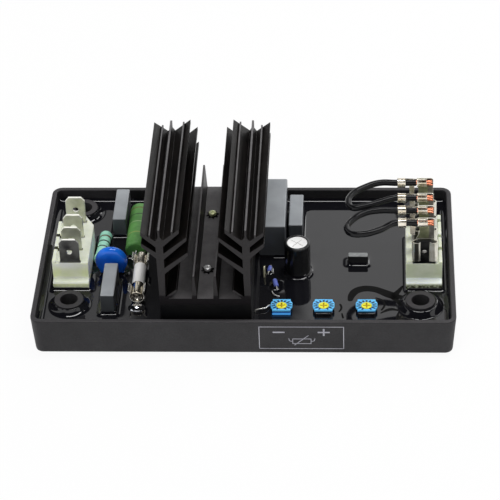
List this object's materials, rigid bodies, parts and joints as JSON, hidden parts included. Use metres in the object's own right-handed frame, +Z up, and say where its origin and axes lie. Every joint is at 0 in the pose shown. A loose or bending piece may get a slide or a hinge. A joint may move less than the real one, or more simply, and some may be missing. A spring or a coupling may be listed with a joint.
{
  "type": "automatic voltage regulator",
  "caption": "Potted voltage regulator tray with a two-tower heat sink, tab terminal blocks, fuse, capacitors and turnable trimmers.",
  "frame": {"origin": "centre of the tray's underside", "axes": "+X along the tray's long side, +Y towards the side away from the trimmers, +Z up out of the open tray"},
  "size_m": [0.2, 0.108, 0.0672],
  "materials": {
    "tray_plastic": "fine-textured moulded charcoal plastic",
    "board": "green solder mask",
    "potting": "glossy black cast resin",
    "module_black": "black moulded epoxy",
    "anodised": "black anodised extrusion, sawn ends",
    "screw_steel": "bright zinc plate",
    "screw_passivated": "pale yellow passivated zinc plate",
    "dark_washer": "blackened spring steel",
    "nylon": "pale green natural nylon, slightly translucent",
    "tab_tin": "tinned brass, slightly dull",
    "receptacle_tin": "tinned brass with bare brass at the sheared edges",
    "lead_insulation": "black insulation, tinned copper strands at the ends",
    "film_case": "grey boxed capacitor case with epoxy fill",
    "can_aluminium": "bright can top with a scored vent",
    "sleeve_black": "shrunk black sleeve",
    "resistor_mint": "mint lacquer with dark rings",
    "resistor_green": "green cement coat with faint rings",
    "resistor_blue": "blue lacquer",
    "varistor_blue": "bright blue dipped epoxy",
    "ceramic": "off-white ceramic",
    "fuse_metal": "nickel-plated brass",
    "clip_tin": "tinned spring brass",
    "trimmer_blue": "light blue moulding",
    "rotor_yellow": "yellow moulded rotor",
    "package_black": "black moulded package with a light grey end",
    "link_wire": "tinned copper wire"
  },
  "bodies": {
    "regulator": {"tray": "tray_plastic", "circuit_board": "board", "potting_resin": "potting", "power_module": "module_black", "heat_sink": "anodised", "heat_sink_screw_front": "screw_steel", "heat_sink_screw_rear": "screw_passivated", "star_washer_front": "dark_washer", "star_washer_rear": "dark_washer", "terminal_block_left": "nylon", "terminal_block_right": "nylon", "left_tab_1": "tab_tin", "left_tab_2": "tab_tin", "left_tab_3": "tab_tin", "left_tab_4": "tab_tin", "right_tab_1": "tab_tin", "right_tab_2": "tab_tin", "right_tab_3": "tab_tin", "right_tab_4": "tab_tin", "flag_receptacle_1": "receptacle_tin", "flag_receptacle_2": "receptacle_tin", "flag_receptacle_3": "receptacle_tin", "flag_receptacle_4": "receptacle_tin", "jumper_lead_front": "lead_insulation", "jumper_lead_rear": "lead_insulation", "film_capacitor_front": "film_case", "film_capacitor_back": "film_case", "film_capacitor_large": "film_case", "film_capacitor_small": "film_case", "electrolytic_can": "can_aluminium", "electrolytic_sleeve": "sleeve_black", "film_resistor": "resistor_mint", "wirewound_resistor": "resistor_green", "small_resistor_front": "resistor_blue", "small_resistor_back": "resistor_blue", "varistor": "varistor_blue", "fuse_tube": "ceramic", "fuse_cap_near": "fuse_metal", "fuse_cap_far": "fuse_metal", "fuse_clip_near": "clip_tin", "fuse_clip_far": "clip_tin", "trimmer_body_1": "trimmer_blue", "trimmer_body_2": "trimmer_blue", "trimmer_body_3": "trimmer_blue", "transistor_package": "package_black", "upright_link": "link_wire", "lying_link": "link_wire"},
    "rotor_1": {"trimmer_rotor_1": "rotor_yellow"},
    "rotor_2": {"trimmer_rotor_2": "rotor_yellow"},
    "rotor_3": {"trimmer_rotor_3": "rotor_yellow"}
  },
  "joints": [
    {"name": "trimmer_1_turn", "type": "hinge", "parent": "regulator", "child": "rotor_1", "pos_m": [0.0179, -0.0366, 0.0165], "axis": [0, 0, 1], "range_deg": [-117.5, 117.5]},
    {"name": "trimmer_2_turn", "type": "hinge", "parent": "regulator", "child": "rotor_2", "pos_m": [0.0378, -0.0366, 0.0165], "axis": [0, 0, 1], "range_deg": [-117.5, 117.5]},
    {"name": "trimmer_3_turn", "type": "hinge", "parent": "regulator", "child": "rotor_3", "pos_m": [0.0581, -0.0366, 0.0165], "axis": [0, 0, 1], "range_deg": [-117.5, 117.5]}
  ]
}
